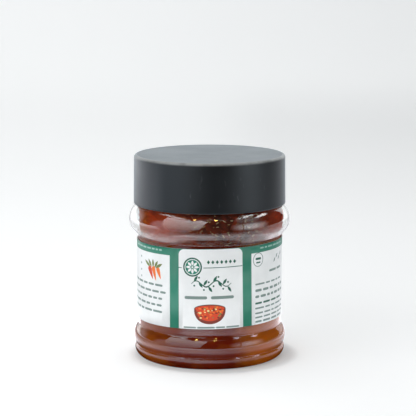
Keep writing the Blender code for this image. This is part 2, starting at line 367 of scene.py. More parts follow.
def turned(name, outline, angles, materials, move, slot_of=lambda row: 0):
    """A closed turned mesh. Its outline runs from the axis to the axis, down the outer side.

    move(row, angle, place) gives a point's final place, and slot_of(row) the material of the faces
    between that point of the outline and the next."""
    columns = len(angles)
    vertices = [(0, 0, outline[0].y)]
    for row, point in enumerate(outline[1:-1], 1):
        for angle in angles:
            place = Vector((point.x * math.cos(angle), point.x * math.sin(angle), point.y))
            vertices.append(move(row, angle, place))
    vertices.append((0, 0, outline[-1].y))
    last = len(vertices) - 1
    rows = len(outline) - 2
    faces = []
    slots = []
    for column in range(columns):
        beside = (column + 1) % columns
        faces.append((0, 1 + column, 1 + beside))
        slots.append(slot_of(0))
        for row in range(rows - 1):
            upper = 1 + row * columns
            lower = upper + columns
            faces.append((upper + column, lower + column, lower + beside, upper + beside))
            slots.append(slot_of(row + 1))
        end = 1 + (rows - 1) * columns
        faces.append((end + column, last, end + beside))
        slots.append(slot_of(rows))
    obj = new_object(name, vertices, faces, materials)
    obj.data.polygons.foreach_set("material_index", slots)
    return obj


def outward(place, distance):
    """The place moved away from the Z axis."""
    flat = Vector((place.x, place.y, 0))
    return place + flat.normalized() * distance


def thread_height(angle, height, start):
    """How far a thread's bead stands at a place beside its wall, as a share of its full height."""
    turn = (angle / (2 * math.pi)) % 1
    best = 0.0
    for lap in range(math.ceil(THREAD_TURNS) + 1):
        along = turn + lap
        if along > THREAD_TURNS:
            continue
        off = abs(height - start - THREAD_PITCH * along) / THREAD_HALF
        ends = smooth_share(along / THREAD_TAPER) * smooth_share((THREAD_TURNS - along) / THREAD_TAPER)
        best = max(best, ends * smooth_share(1 - off))
    return best


# Materials


def new_material(name, **values):
    """A material with these values on its Principled shader.

    Returns it, the shader and the object's own coordinates in metres."""
    material = bpy.data.materials.new(name)
    material.use_nodes = True
    shader = material.node_tree.nodes["Principled BSDF"]
    for socket, value in values.items():
        shader.inputs[socket.replace("_", " ")].default_value = value
    return material, shader, place_of(material.node_tree)


def add_node(tree, kind, inputs=(), **settings):
    """A node with these settings. inputs pairs its sockets with values or other nodes' outputs."""
    node = tree.nodes.new(kind)
    for name, value in settings.items():
        setattr(node, name, value)
    for socket, value in dict(inputs).items():
        if isinstance(value, bpy.types.NodeSocket):
            tree.links.new(value, node.inputs[socket])
        else:
            node.inputs[socket].default_value = value
    return node


def place_of(tree):
    return add_node(tree, "ShaderNodeTexCoord").outputs["Object"]


def stretched(place, scale):
    return add_node(place.id_data, "ShaderNodeMapping", {"Vector": place, "Scale": scale}).outputs["Vector"]


def axis_of(place, axis):
    return add_node(place.id_data, "ShaderNodeSeparateXYZ", {"Vector": place}).outputs[axis]


def distance_from(place, point):
    inputs = {0: place, 1: point}
    return add_node(place.id_data, "ShaderNodeVectorMath", inputs, operation="DISTANCE").outputs["Value"]


def noise_of(place, scale, detail=3.0, roughness=0.55):
    inputs = {"Vector": place, "Scale": scale, "Detail": detail, "Roughness": roughness}
    return add_node(place.id_data, "ShaderNodeTexNoise", inputs).outputs["Fac"]


def tone_of(tree):
    """The share, 0 to 1, that each strip of carrot drew. It is 0 on anything else."""
    return add_node(tree, "ShaderNodeAttribute", attribute_name="tone").outputs["Fac"]


def spread(value, low, high, to_low=0.0, to_high=1.0):
    """The value, taken from its range to another with smooth ends."""
    inputs = {"Value": value, "From Min": low, "From Max": high, "To Min": to_low, "To Max": to_high}
    settings = {"interpolation_type": "SMOOTHSTEP"}
    return add_node(value.id_data, "ShaderNodeMapRange", inputs, **settings).outputs["Result"]


def combine(operation, first, *others):
    """The values, numbers or outputs, put together from left to right."""
    tree = next(value.id_data for value in (first, *others) if isinstance(value, bpy.types.NodeSocket))
    for value in others:
        first = add_node(tree, "ShaderNodeMath", {0: first, 1: value}, operation=operation).outputs["Value"]
    return first


def product(*values):
    return combine("MULTIPLY", *values)


def weighted(*pairs):
    """The sum of the values, each times its weight."""
    return combine("ADD", *[product(value, weight) for value, weight in pairs])


def mixed(share, first, second):
    """A mix of two colours, given as values or outputs."""
    node = add_node(share.id_data, "ShaderNodeMix", data_type="RGBA")
    for socket, value in zip((node.inputs[0], node.inputs[6], node.inputs[7]), (share, first, second)):
        if isinstance(value, bpy.types.NodeSocket):
            share.id_data.links.new(value, socket)
        else:
            socket.default_value = (*value, 1)
    return node.outputs[2]


def feed(node, **outputs):
    """Link outputs of other nodes into a node's sockets."""
    for socket, output in outputs.items():
        node.id_data.links.new(output, node.inputs[socket.replace("_", " ")])


def noise_bump(shader, place, scale, detail, distance, strength):
    inputs = {"Height": noise_of(place, scale, detail), "Distance": distance, "Strength": strength}
    bump = add_node(shader.id_data, "ShaderNodeBump", inputs)
    feed(shader, Normal=bump.outputs["Normal"])


def pet_material(name, mirroring):
    """Clear PET, a little wavy, with faint rubbed patches. mirroring is 0 where syrup wets it."""
    material, shader, place = new_material(
        name,
        Base_Color=(0.93, 0.935, 0.93, 1),
        Transmission_Weight=1.0,
        IOR=1.57,
        Specular_Tint=(mirroring, mirroring, mirroring, 1),
    )
    feed(shader, Roughness=spread(noise_of(place, 90, 5.0), 0.5, 0.75, 0.012, 0.05))
    noise_bump(shader, place, 160, 2.0, 0.00006, 0.35)
    return material


def lid_material():
    """Black polypropylene: fine grain, rubbed patches, short scratches, and wear and a painted highlight on
    its top edge.
    """
    material, shader, place = new_material(
        "black_polypropylene",
        IOR=1.5,
        Specular_IOR_Level=0.5,
        Specular_Tint=(0.84, 0.93, 1.0, 1),
        Sheen_Weight=0.6,
        Sheen_Roughness=0.3,
        Sheen_Tint=(0.80, 0.92, 1.0, 1),
    )
    streaks = noise_of(stretched(place, (1, 1, 0.3)), 420, 4.0, 0.7)
    patches = noise_of(place, 38, 4.0)
    scuffs = product(spread(streaks, 0.60, 0.72), spread(patches, 0.48, 0.66))
    radius = distance_from(stretched(place, (1, 1, 0)), (0, 0, 0))
    # The pale top edge is partly wear and partly a painted highlight.
    wear_and_painted_highlight = product(
        spread(axis_of(place, "Z"), *LID_PALE_EDGE_HEIGHTS),
        spread(radius, *LID_PALE_EDGE_RADII),
        spread(noise_of(place, 110, 4.0, 0.6), 0.30, 0.62, 0.5, 1),
    )
    black = mixed(patches, (0.0050, 0.0058, 0.0068), (0.0085, 0.0094, 0.0104))
    marked = mixed(scuffs, black, (0.045, 0.048, 0.052))
    feed(
        shader,
        Base_Color=mixed(wear_and_painted_highlight, marked, (0.34, 0.35, 0.34)),
        Roughness=spread(patches, 0.35, 0.65, 0.33, 0.41),
    )
    noise_bump(shader, place, 2600, 2.0, 0.00003, 0.5)
    return material


def syrup_material():
    """Thick sugar syrup, red-brown by its depth, a little cloudy, and with painted light on both sides."""
    material, shader, place = new_material(
        "murabba_syrup",
        Transmission_Weight=0.46,
        IOR=1.47,
        Specular_Tint=(0.1, 0.1, 0.1, 1),
        Roughness=0.03,
    )
    # Painted light: the base colour is lighter towards both sides, standing in for light shining through
    # the thinner syrup there. The wisps are the syrup's own cloudiness.
    across = axis_of(place, "X")
    left = spread(across, -0.032, -0.012, 0.6, 0)
    side = combine("MAXIMUM", spread(across, 0.008, 0.026), left)
    wisps = spread(noise_of(stretched(place, (1, 1, 3)), 120, 4.0), 0.35, 0.65, -0.12, 0.12)
    thin = combine("ADD", side, wisps)
    feed(shader, Base_Color=mixed(thin, (0.38, 0.032, 0.004), (1.0, 0.28, 0.014)))
    noise_bump(shader, place, 240, 2.0, 0.0002, 0.3)
    tree = material.node_tree
    volume = add_node(tree, "ShaderNodeVolumeAbsorption", {"Color": (0.86, 0.72, 0.0, 1), "Density": 100})
    feed(tree.nodes["Material Output"], Volume=volume.outputs["Volume"])
    return material


def sliver_material():
    """Thin ends of carrot, pale within the painted shade in front and redder away from it."""
    material, shader, place = new_material("pale_slivers", Roughness=0.6, Specular_IOR_Level=0.0)
    share = weighted((tone_of(shader.id_data), 0.6), (noise_of(place, 330, 4.0), 0.5))
    pale = mixed(spread(share, 0.15, 0.95), (0.28, 0.15, 0.06), (0.62, 0.46, 0.25))
    redder = spread(distance_from(place, PAINTED_SHADE_MIDDLE), 0.010, 0.026, 0, 0.9)
    feed(shader, Base_Color=mixed(redder, pale, (0.46, 0.06, 0.012)))
    noise_bump(shader, place, 900, 3.0, 0.0001, 0.6)
    return material


def packed_material(name):
    """Cooked carrot packed close: red-brown, painted shade in front and painted backlight at its left end.
    """
    material, shader, place = new_material(name, Roughness=0.6, Specular_IOR_Level=0.0)
    # Painted shade: darker round a place in front of the upper bulge. The blotches and tone are the
    # carrot's own.
    lit = spread(distance_from(place, PAINTED_SHADE_MIDDLE), *PAINTED_SHADE_REACH)
    blotches = spread(noise_of(place, 260, 5.0, 0.65), 0.36, 0.66)
    share = weighted((lit, 0.75), (blotches, 0.25), (tone_of(shader.id_data), 0.22))
    red = mixed(share, (0.080, 0.021, 0.011), (0.50, 0.055, 0.008))
    # Painted light: amber at the left end stands in for light shining through the syrup there.
    painted_backlight = spread(axis_of(place, "X"), -0.033, -0.028, 1, 0)
    feed(shader, Base_Color=mixed(painted_backlight, red, (0.46, 0.10, 0.008)))
    noise_bump(shader, place, 500, 4.0, 0.0002, 0.6)
    return material


def ink_material(name, colour):
    """Printed paper under a thin laminate: the ink's colour, faint mottling and a fine grain."""
    material, shader, place = new_material(name, IOR=1.5, Specular_IOR_Level=0.5)
    paler = tuple(min(c * (1 + INK_WEAR) + INK_WEAR * 0.25, 1) for c in colour)
    deeper = tuple(c * (1 - INK_WEAR) for c in colour)
    mottle = spread(noise_of(place, 130, 5.0), 0.3, 0.7)
    rough = spread(noise_of(place, 60, 3.0), 0.3, 0.7, 0.34, 0.42)
    feed(shader, Base_Color=mixed(mottle, deeper, paler), Roughness=rough)
    noise_bump(shader, place, 1500, 2.0, 0.00002, 0.25)
    return material


# The object's pieces


def ride_and_name(obj, node=None):
    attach(obj, BODY)
    if node:
        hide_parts(node)


def seam_angles():
    """The even angles, with close columns at both mould parting lines in place of those beside them."""
    seams = [SEAM_ANGLE % (2 * math.pi), (SEAM_ANGLE + math.pi) % (2 * math.pi)]
    reach = 1.2 * SEAM_COLUMNS[-1] / PANEL_RADIUS
    angles = [a for a in even_angles() if all(abs(a - seam) > reach for seam in seams)]
    angles += [seam + offset / PANEL_RADIUS for seam in seams for offset in SEAM_COLUMNS]
    return sorted(angles)


def seam_height(angle):
    """How far a parting line stands at an angle round the jar."""
    nearest = min(abs(math.remainder(angle - SEAM_ANGLE - turn, 2 * math.pi)) for turn in (0, math.pi))
    return SEAM_STAND * smooth_share(1 - nearest * PANEL_RADIUS / SEAM_HALF)


def make_jar():
    inside = spaced(rounded(inset(upper_corners() + lower_corners(with_groove=False), JAR_WALL)))[::-1]
    outline = inside + jar_outside()
    neck_foot = SHOULDER_HEIGHT + SHOULDER_ROUND

    def move(row, angle, place):
        waves = WAVE_DEPTH * noise.noise(place * WAVE_SCALE)
        if row < len(inside):
            return outward(place, 2 * waves)
        if place.z > neck_foot:
            return outward(place, THREAD_STAND * thread_height(angle, place.z, THREAD_START))
        return outward(place, waves + seam_height(angle))

    def slot_of(row):
        height = outline[row].y
        wet = height < WET_BELOW or WET_ABOVE < height < FILL_HEIGHT
        return 1 if wet and row < len(inside) - 1 else 0

    materials = [pet_material("clear_pet", 1.0), pet_material("clear_pet_wetted", 0.0)]
    jar = turned("clear_jar", outline, seam_angles(), materials, move, slot_of)
    ride_and_name(jar, "jar")


def make_lid():
    corners = [
        (0, LID_TOP, 0),
        (LID_TOP_RADIUS, LID_TOP, LID_TOP_ROUND),
        (LID_FOOT_RADIUS, LID_FOOT, LID_FOOT_ROUND),
        (LID_INNER_RADIUS, LID_FOOT, LID_INNER_FOOT_ROUND),
        (LID_INNER_RADIUS, LID_CEILING, LID_INNER_TOP_ROUND),
        (0, LID_CEILING, 0),
    ]
    outline = spaced(rounded(corners))
    start = THREAD_START - THREAD_PITCH / 2

    def move(row, angle, place):
        if abs(math.hypot(place.x, place.y) - LID_INNER_RADIUS) > SAME_POINT:
            return place
        return outward(place, -THREAD_STAND * thread_height(angle, place.z, start))

    lid = turned("screw_lid", outline, even_angles(), [lid_material()], move)
    ride_and_name(lid, "lid")


def strip_faces(first):
    """The faces of a strip whose points start at this one."""
    sides = range(STRIP_SIDES)
    last = first + (STRIP_POINTS - 1) * STRIP_SIDES
    faces = []
    for ring in range(first, last, STRIP_SIDES):
        for side in sides:
            a, b = ring + side, ring + (side + 1) % STRIP_SIDES
            faces.append((a, b, b + STRIP_SIDES, a + STRIP_SIDES))
    return [*faces, [first + side for side in reversed(sides)], [last + side for side in sides]]


def strip_points(spine, outs, half_width, half_thickness, twist):
    """A flat strip with rounded edges. outs are the ways out of the surface it lies on."""
    points = []
    for index, (place, out) in enumerate(zip(spine, outs)):
        before = spine[max(index - 1, 0)]
        after = spine[min(index + 1, STRIP_POINTS - 1)]
        across = (after - before).normalized().cross(out).normalized()
        share = 2 * index / (STRIP_POINTS - 1) - 1
        size = max(math.sqrt(1 - share ** 4), STRIP_END)
        turn = twist * share
        for side in range(STRIP_SIDES):
            angle = 2 * math.pi * side / STRIP_SIDES
            width = half_width * size * math.cos(angle)
            height = half_thickness * size * math.sin(angle)
            sideways = math.cos(turn) * width - math.sin(turn) * height
            lift = math.sin(turn) * width + math.cos(turn) * height
            points.append(place + across * sideways + out * lift)
    return points


def kept_within(wall, place):
    """The place, brought back if it would come through the jar's wall."""
    beyond = math.hypot(place.x, place.y) - (radius_at(wall, place.z) - WALL_COVER)
    return outward(place, -max(beyond, 0))


def strip_spine(outline, angle, height, heading, bend, length, depth, draw):
    """Points along the contents' side at this depth under its surface, and the ways out of it."""
    spine = []
    outs = []
    step = length / (STRIP_POINTS - 1)
    swing = draw.uniform(-1, 1) * STRIP_SWING
    lowest, highest = CLUMP_BAND
    for index in range(STRIP_POINTS):
        share = index / (STRIP_POINTS - 1)
        height = min(max(height, lowest), highest)
        surface = radius_at(outline, height) + unevenness(angle, height)
        radius = surface - depth - swing * math.sin(math.pi * share)
        out = Vector((math.cos(angle), math.sin(angle), 0))
        spine.append(out * radius + UP * height)
        outs.append(out)
        way = heading + bend * share
        angle += step * math.cos(way) / radius
        height += step * math.sin(way)
    return spine, outs


def make_strips(name, kind, material, outline, seed):
    """Strips of carrot all round the contents' side, drawn from the ranges of their kind."""
    draw = random.Random(seed)
    points, faces, tones = [], [], []
    for index in range(kind["count"]):
        spine, outs = strip_spine(
            outline,
            index * GOLDEN_TURN,
            draw.uniform(*CLUMP_BAND),
            draw.choice((0, math.pi)) + draw.uniform(-STRIP_TILT, STRIP_TILT),
            draw.uniform(-STRIP_BEND, STRIP_BEND),
            draw.uniform(*kind["length"]),
            draw.uniform(*kind["depth"]),
            draw,
        )
        twist = draw.uniform(-STRIP_TWIST, STRIP_TWIST)
        halves = [draw.uniform(*kind[size]) for size in ("half_width", "half_thickness")]
        faces += strip_faces(len(points))
        points += strip_points(spine, outs, *halves, twist)
        tones += [draw.random()] * (STRIP_POINTS * STRIP_SIDES)
    wall = jar_outside()
    strips = new_object(name, [kept_within(wall, place) for place in points], faces, [material])
    strips.data.attributes.new("tone", "FLOAT", "POINT").data.foreach_set("value", tones)
    ride_and_name(strips)


def make_syrup(outline):
    def move(row, angle, place):
        return outward(place, unevenness(angle, place.z))

    syrup = turned("murabba_syrup", outline, even_angles(), [syrup_material()], move)
    ride_and_name(syrup, "murabba")


def make_clump(syrup_outline):
    """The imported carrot: it shows at the side of the upper bulge, and narrows inside the syrup."""
    foot, top = CLUMP_BAND
    heights = [top + (foot - top) * step / CLUMP_STEPS for step in range(CLUMP_STEPS + 1)]
    band = [Vector((radius_at(syrup_outline, height) + CLUMP_PROUD, height)) for height in heights]
    outline = spaced([*map(Vector, CLUMP_ABOVE), *band, *map(Vector, CLUMP_BELOW)])

    def move(row, angle, place):
        radius = math.hypot(place.x, place.y)
        lumps = CLUMP_ROUGH * noise.fractal(place * CLUMP_SCALE, *CLUMP_FRACTAL)
        return outward(place, unevenness(angle, place.z) + lumps * smooth_share(radius / CLUMP_CALM))

    clump = turned("murabba_carrot", outline, even_angles(), [packed_material("packed_carrot")], move)
    ride_and_name(clump)


def make_murabba():
    outline = spaced(rounded(murabba_corners()))
    make_syrup(outline)
    make_clump(outline)
    make_strips("murabba_shreds", SHREDS, packed_material("carrot_shreds"), outline, SEED)
    make_strips("murabba_slivers", SLIVERS, sliver_material(), outline, SEED + 1)


# Label print, in millimetres: (along, up) from the front's middle and the standing surface


def box(left, right, low, high):
    return [(left, low), (right, low), (right, high), (left, high)]


def around(centre, turn, half_width, half_height):
    """The point of an ellipse at an angle."""
    return centre[0] + half_width * math.cos(turn), centre[1] + half_height * math.sin(turn)


def ellipse(centre, half_width, half_height, points=40):
    turns = [2 * math.pi * point / points for point in range(points)]
    return [around(centre, turn, half_width, half_height) for turn in turns]


def bar(left, right, height, thickness, points=6):
    """A plain dash with round ends."""
    half = thickness / 2
    turns = [math.pi * (point / points - 0.5) for point in range(points + 1)]
    right_end = [around((right - half, height), turn, half, half) for turn in turns]
    left_end = [around((left + half, height), turn, -half, -half) for turn in turns]
    return right_end + left_end


def even_shares(steps):
    return [step / steps for step in range(steps + 1)]


def tapered(root, tip, widths):
    """The outline round a line, with these half widths at even steps from its root to its tip."""
    root, tip = Vector(root), Vector(tip)
    along = tip - root
    across = Vector((-along.y, along.x)).normalized()
    spine = [root + along * share for share in even_shares(len(widths) - 1)]
    one = [place + across * width for place, width in zip(spine, widths)]
    other = [place - across * width for place, width in zip(spine, widths)]
    return [tuple(point) for point in one + other[-2::-1]]


def leaf(root, tip, half_width, steps=7):
    """A pointed oval from its root to its tip."""
    widths = [half_width * math.sin(math.pi * share) for share in even_shares(steps)]
    return tapered(root, tip, widths)[:-1]


def carrot_shape(top, tip, half_width, steps=8):
    """A tapering root, round at its top."""
    widths = [half_width * (1 - s) ** 0.75 * min(1, 0.55 + 3 * s) for s in even_shares(steps)]
    return tapered(top, tip, widths)


def corner_fillet(corner, radius, way, points=8):
    """What fills a square corner outside a rounded one. way is 1 for a left corner, -1 for a right one."""
    turns = [math.pi / 2 * point / points for point in range(points + 1)]
    centre = corner[0] + way * radius, corner[1] - radius
    return [corner, *(around(centre, turn, -way * radius, radius) for turn in turns)]


def dashes(left, right, height, thickness, draw, lengths=(2.2, 6.5), space=0.9):
    """Plain dashes in a row, of mixed lengths."""
    outlines = []
    start = left
    while start < right - lengths[0]:
        end = min(start + draw.uniform(*lengths), right)
        outlines.append(bar(start, end, height, thickness))
        start = end + space
    return outlines


def inked(ink, outlines):
    return [(ink, outline) for outline in outlines]


INKS = {
    "green": srgb(30, 128, 103),
    "dark_ink": srgb(14, 92, 72),
    "text_ink": srgb(120, 142, 136),
    "pale_ink": srgb(150, 190, 178),
    "orange": srgb(240, 118, 30),
    "deep_orange": srgb(214, 66, 22),
    "red_brown": srgb(120, 40, 18),
    "rim_brown": srgb(70, 52, 40),
    "cream": srgb(240, 222, 150),
    "leaf_green": srgb(112, 128, 60),
    "paper": srgb(239, 242, 242),  # last, because the label's edges and back take the last one
}
PANEL_LEFT = (-20.45, -15.45)  # the green bands beside the middle panel
PANEL_RIGHT_TOP = (16.35, 21.45)
PANEL_RIGHT_FOOT = (16.90, 21.90)
TOP_BAND_FOOT = 56.6
PANEL_ROUNDING = 2.7
PANEL_TOP = LABEL_TOP - 0.15
ROSETTE = (-8.4, 51.5)
BOWL = (0.1, 30.9)


def frame_fields():
    """The green bands and the middle panel's rounded top corners."""
    top, foot = LABEL_TOP, LABEL_FOOT
    (outer_left, left), (right, outer_right) = PANEL_LEFT, PANEL_RIGHT_TOP
    return inked("green", [
        box(*PANEL_LEFT, foot, top),
        [(PANEL_RIGHT_FOOT[0], foot), (PANEL_RIGHT_FOOT[1], foot), (outer_right, top), (right, top)],
        box(-LABEL_END, outer_left, TOP_BAND_FOOT, top),
        box(outer_right, LABEL_END, TOP_BAND_FOOT, top),
        box(left, right, PANEL_TOP, top),
        corner_fillet((left, PANEL_TOP), PANEL_ROUNDING, 1),
        corner_fillet((right, PANEL_TOP), PANEL_ROUNDING, -1),
    ])


def rosette(centre):
    """A ring round eight petals."""
    discs = (("dark_ink", 4.7), ("paper", 3.95), ("green", 3.6))
    fields = [(ink, ellipse(centre, radius, radius)) for ink, radius in discs]
    for step in range(8):
        root, tip = (around(centre, math.pi * step / 4, reach, reach) for reach in (0.7, 3.3))
        fields.append(("paper", leaf(root, tip, 0.62)))
    fields.append(("paper", ellipse(centre, 0.45, 0.45, 16)))
    return fields


def leafy_scroll():
    """A wavy stem with leaves on both sides and a few round berries."""
    left, right, middle, swing, wave = -9.0, 10.6, 43.3, 1.5, 9.8
    steps = 48
    outlines = []

    def stem_height(along):
        return middle + swing * math.sin(2 * math.pi * (along - left) / wave)

    for step in range(steps):
        ends = [left + (right - left) * (step + i) / steps for i in (0, 1)]
        thick = [0.16 + 0.2 * math.sin(math.pi * (step + i) / steps) for i in (0, 1)]
        under = [(ends[i], stem_height(ends[i]) - thick[i]) for i in (0, 1)]
        over = [(ends[i], stem_height(ends[i]) + thick[i]) for i in (1, 0)]
        outlines.append(under + over)
    for index in range(8):
        along = left + 1.3 + index * 2.35
        height = stem_height(along)
        way = 1 if index % 2 == 0 else -1
        outlines.append(leaf((along, height), (along + 1.9, height + way * 3.0), 0.62))
        outlines.append(ellipse((along + 0.2, height - way * 2.0), 0.46, 0.46, 14))
    return inked("dark_ink", outlines)


def carrot_bowl(draw):
    """A round bowl heaped with pieces of carrot."""
    across, up = BOWL
    half_width, depth, rim = 7.7, 7.6, 2.2
    turns = [math.pi * point / 28 for point in range(29)]
    curve = [(half_width * math.cos(t), depth * math.sin(t) ** 0.8) for t in turns]
    fields = [
        ("rim_brown", ellipse((across, up), half_width, rim)),
        ("red_brown", [(across - x, up - y) for x, y in curve]),
        ("deep_orange", ellipse((across, up + 0.1), 0.93 * half_width, 0.72 * rim)),
        ("deep_orange", [(across - 0.86 * x, up - 0.8 * y) for x, y in curve]),
    ]
    inks = ("orange", "orange", "deep_orange", "red_brown", "orange", "cream", "red_brown", "leaf_green")
    for index in range(84):
        reach = math.sqrt(draw.random())
        turn = draw.uniform(0, 2 * math.pi)
        place = around((across, up - 2.4), turn, 0.84 * half_width * reach, 4.4 * reach)
        below = up - 0.74 * depth * math.sqrt(max(1 - ((place[0] - across) / half_width) ** 2, 0))
        if not below < place[1] < up + 0.55 * rim:
            continue
        size = draw.uniform(0.35, 0.75)
        tilt = draw.uniform(0, math.pi)
        stretch = draw.uniform(0.5, 0.8)
        piece = [around(place, tilt + math.pi / 3 * corner, size, stretch * size) for corner in range(6)]
        fields.append((inks[index % len(inks)], piece))
    return fields


def carrot_bunch():
    """Three plain carrots with their leaves."""
    leaves = (
        ((-33.4, 49.2), (-38.6, 52.3)),
        ((-32.6, 49.4), (-35.3, 53.2)),
        ((-31.4, 49.4), (-31.6, 53.6)),
        ((-30.4, 49.4), (-28.0, 53.0)),
        ((-29.8, 49.2), (-25.0, 51.9)),
    )
    carrots = (
        ("deep_orange", (-34.6, 49.6), (-31.6, 43.4), 1.75),
        ("orange", (-28.3, 49.6), (-26.0, 44.0), 1.45),
        ("orange", (-31.5, 49.9), (-29.4, 42.9), 1.6),
    )
    fields = inked("leaf_green", [leaf(root, tip, 0.75) for root, tip in leaves])
    return fields + [(ink, carrot_shape(*shape)) for ink, *shape in carrots]


def side_print(draw):
    """What the sides and the back carry: plain dashes, dots and leaves, and a ring round two bars."""
    dots = [ellipse((-42.9, height), 0.55, 0.55, 12) for height in (53.4, 50.1, 46.8, 43.5)]
    fields = inked("text_ink", dots)
    for height in (41.0, 37.7, 34.4, 31.0, 27.8):
        fields += inked("text_ink", dashes(-57.0, -22.9, height, 1.05, draw))
    fields.append(("text_ink", ellipse((25.8, 53.1), 3.3, 3.5)))
    fields.append(("paper", ellipse((25.8, 53.1), 2.95, 3.15)))
    fields += inked("dark_ink", [bar(24.0, 27.6, 53.6, 1.1), bar(24.4, 27.2, 51.7, 0.7)])
    for along, height in ((38.0, 50.0), (40.6, 51.8), (43.2, 50.4), (45.8, 52.2)):
        fields.append(("text_ink", leaf((along, height), (along + 1.8, height + 2.2), 0.5)))
    fields += inked("text_ink", dashes(34.0, 50.0, 46.4, 1.1, draw, (5.0, 8.0)))
    rows = (
        (40.9, "text_ink", 0.8),
        (37.8, "text_ink", 1.25),
        (34.7, "text_ink", 1.25),
        (31.4, "dark_ink", 0.95),
        (28.9, "text_ink", 0.8),
        (26.4, "text_ink", 0.8),
        (24.3, "text_ink", 0.8),
        (22.2, "text_ink", 1.0),
    )
    for height, ink, thickness in rows:
        fields += inked(ink, dashes(24.0, 50.0, height, thickness, draw))
    for left, right in ((-49.0, -25.0), (27.0, 50.0)):
        fields += inked("pale_ink", dashes(left, right, 58.7, 0.8, draw, (1.6, 4.2), 0.7))
    for left, right in ((-104.0, -70.0), (66.0, 104.0)):
        fields.append(("text_ink", box(left, right, 52.3, 52.7)))
        for row in range(9):
            fields += inked("text_ink", dashes(left, right, 50.0 - 2.9 * row, 0.8, draw))
    return fields


def label_fields():
    """Every field of the print as (ink, outline), each painted over those before it."""
    draw = random.Random(SEED)
    fields = [("paper", box(-LABEL_END, LABEL_END, LABEL_FOOT, LABEL_TOP))]
    fields += frame_fields()
    fields += rosette(ROSETTE)
    fields.append(("dark_ink", [(-3.0, 50.95), (16.37, 51.15), (16.37, 51.5), (-3.0, 51.3)]))
    fields.append(("dark_ink", [(-15.47, 50.85), (-13.9, 50.87), (-13.9, 51.22), (-15.47, 51.2)]))
    for along in (-0.6 + 2.15 * index for index in range(7)):
        diamond = [(along - 0.75, 53.9), (along, 52.9), (along + 0.75, 53.9), (along, 54.9)]
        fields.append(("dark_ink", diamond))
    fields += leafy_scroll()
    fields += inked("text_ink", [bar(-12.4, -1.2, 36.4, 1.5), bar(0.6, 12.0, 36.4, 1.5)])
    fields += carrot_bowl(draw)
    fields += inked("text_ink", dashes(-13.0, 14.8, 21.6, 0.8, draw, (4.0, 9.0), 0.5))
    fields += carrot_bunch()
    fields += side_print(draw)
    return fields


def anticlockwise(outline):
    """The outline in the direction that the cutting takes its inside from."""
    area = sum(a[0] * b[1] - b[0] * a[1] for a, b in zip(outline, outline[1:] + outline[:1]))
    return outline if area > 0 else outline[::-1]


def on_label(point):
    """A point of the print, wrapped round the jar."""
    along, up = point
    angle = FRONT + along / LABEL_RADIUS
    flat = Vector((math.cos(angle), math.sin(angle), 0)) * LABEL_RADIUS
    return (flat + UP * (up + flat.x * LABEL_SKEW)) * MM


def make_label():
    """The label's outer face, cut along the outlines of its print, then given its thickness."""
    fields = label_fields()
    points = []
    faces = []
    for _, outline in fields:
        faces.append(list(range(len(points), len(points) + len(outline))))
        points += [Vector(point) for point in anticlockwise(outline)]
    edges = []
    steps = math.ceil(2 * LABEL_END / LABEL_STEP)
    for step in range(1, steps):
        along = -LABEL_END + 2 * LABEL_END * step / steps
        edges.append((len(points), len(points) + 1))
        points += [Vector((along, LABEL_FOOT)), Vector((along, LABEL_TOP))]
    cut = geometry.delaunay_2d_cdt(points, edges, faces, 1, 1e-5, True)
    cut_points, _, cut_faces, _, _, fields_of = cut
    names = list(INKS)
    materials = [ink_material("print_" + name, INKS[name]) for name in names]
    label = new_object("wrap_label", [on_label(point) for point in cut_points], cut_faces, materials)
    slots = [names.index(fields[max(covering)][0]) for covering in fields_of]
    label.data.polygons.foreach_set("material_index", slots)
    shell = label.modifiers.new("Solidify", "SOLIDIFY")
    shell.thickness = LABEL_THICKNESS * MM
    shell.offset = -1
    shell.use_even_offset = True
    shell.material_offset = shell.material_offset_rim = len(names)
    ride_and_name(label, "label")


# Stage, lights and camera

TABLE_FRONT = -0.17
FLOOR_HALF = 1.5
SWEEP_START = 0.9
SWEEP_RADIUS = 0.6
SWEEP_TOP = 1.9
SWEEP_STEPS = 24
SHADE_PLACE = (0.055, -0.01, 0)  # the middle of the shade on the floor, right of the jar
FOOT_SHADE_PLACE = (0.0025, -0.001, 0)  # and of the shade round its foot
PANEL_DISTANCE = 0.8
PANEL_AIM = 0.05  # the height that panels of light face
TABLE_SIZE = (2.2, 0.9)
TABLE_HEIGHT = 0.0004  # of the lit table that only the jar mirrors
OVERHEAD_SIZE = (0.95, 0.6)
OVERHEAD_PLACE = (0.05, 0.24, 0.9)
LAMP_SIZE = (0.045, 0.062)
STRIP_LIGHTS = (  # name, azimuth, elevation, width, strength
    ("left_strip", -76, 53, 0.74, 3.5),
    ("middle_strip", 0, 54, 0.70, 0.5),
    ("right_strip", 84, 54, 0.70, 6.0),
    ("right_far_strip", 99, 41, 0.40, 6.0),
)

# Brightness by place, as a product of smooth steps: what a step goes by, where it starts and
# ends, and its value before and after. "foot" is the distance from a point under the jar
FLOOR_LIGHT = (
    ("Z", -0.2, 1.1, 0.51, 0.445),
    ("X", -0.4, 0.5, 1.15, 0.90),
    ("X", 0.45, 1.0, 1.0, 2.5),  # a window on the right
    ("Y", -0.06, 0.3, 1.04, 1),
    ("Y", 0.4, 0.9, 1, 1.07),
    ("foot", 0.038, 0.045, 0.50, 1),
)
TABLE_LIGHT = (
    ("X", -0.50, -0.22, 4.5, 1.0),
    ("X", -0.078, -0.058, 1.2, 3.5),  # shaded on the jar's left
    ("X", -0.005, 0.025, 1, 0.6),
    ("X", 0.12, 0.30, 1.0, 0.45),
    ("Y", -0.140, -0.112, 0, 1),  # dark at its front edge
    ("foot", 0.041, 0.050, 0, 1),
    ("foot", 0.068, 0.092, 0.55, 1.1),
    ("foot", 0.085, 0.13, 1, 0.45),
)


